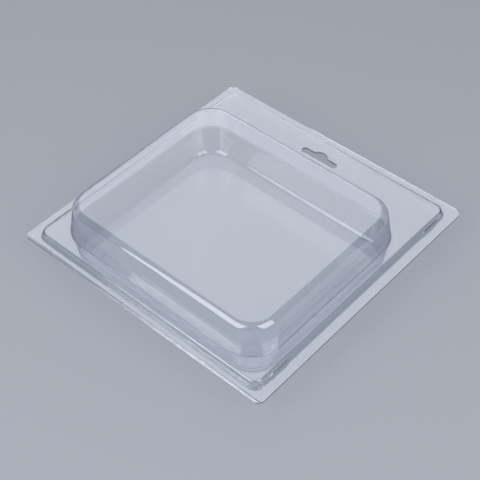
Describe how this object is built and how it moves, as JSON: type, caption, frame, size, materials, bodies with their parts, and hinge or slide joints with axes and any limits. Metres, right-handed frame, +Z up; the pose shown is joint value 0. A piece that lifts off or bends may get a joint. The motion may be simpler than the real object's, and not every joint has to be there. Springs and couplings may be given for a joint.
{
  "type": "clamshell pack",
  "caption": "Clear thermoformed clamshell pack: a domed front half folds over a tray-shaped back half, with nesting rims, side snaps and a slot for a display hook.",
  "frame": {"origin": "under the middle of the pack, on the face of the tray floor that it stands on", "axes": "+X along the fold, +Y from the fold to the hanging edge, +Z up out of the dome"},
  "size_m": [0.22, 0.22, 0.0465],
  "materials": {
    "clear_film": "clear, glossy, thin formed sheet"
  },
  "bodies": {
    "back_half": {"back_shell": "clear_film"},
    "front_half": {"front_shell": "clear_film"}
  },
  "joints": [
    {"name": "fold", "type": "hinge", "parent": "back_half", "child": "front_half", "pos_m": [0, -0.11, 0.017], "axis": [1, 0, 0], "range_deg": [0, 180]}
  ]
}
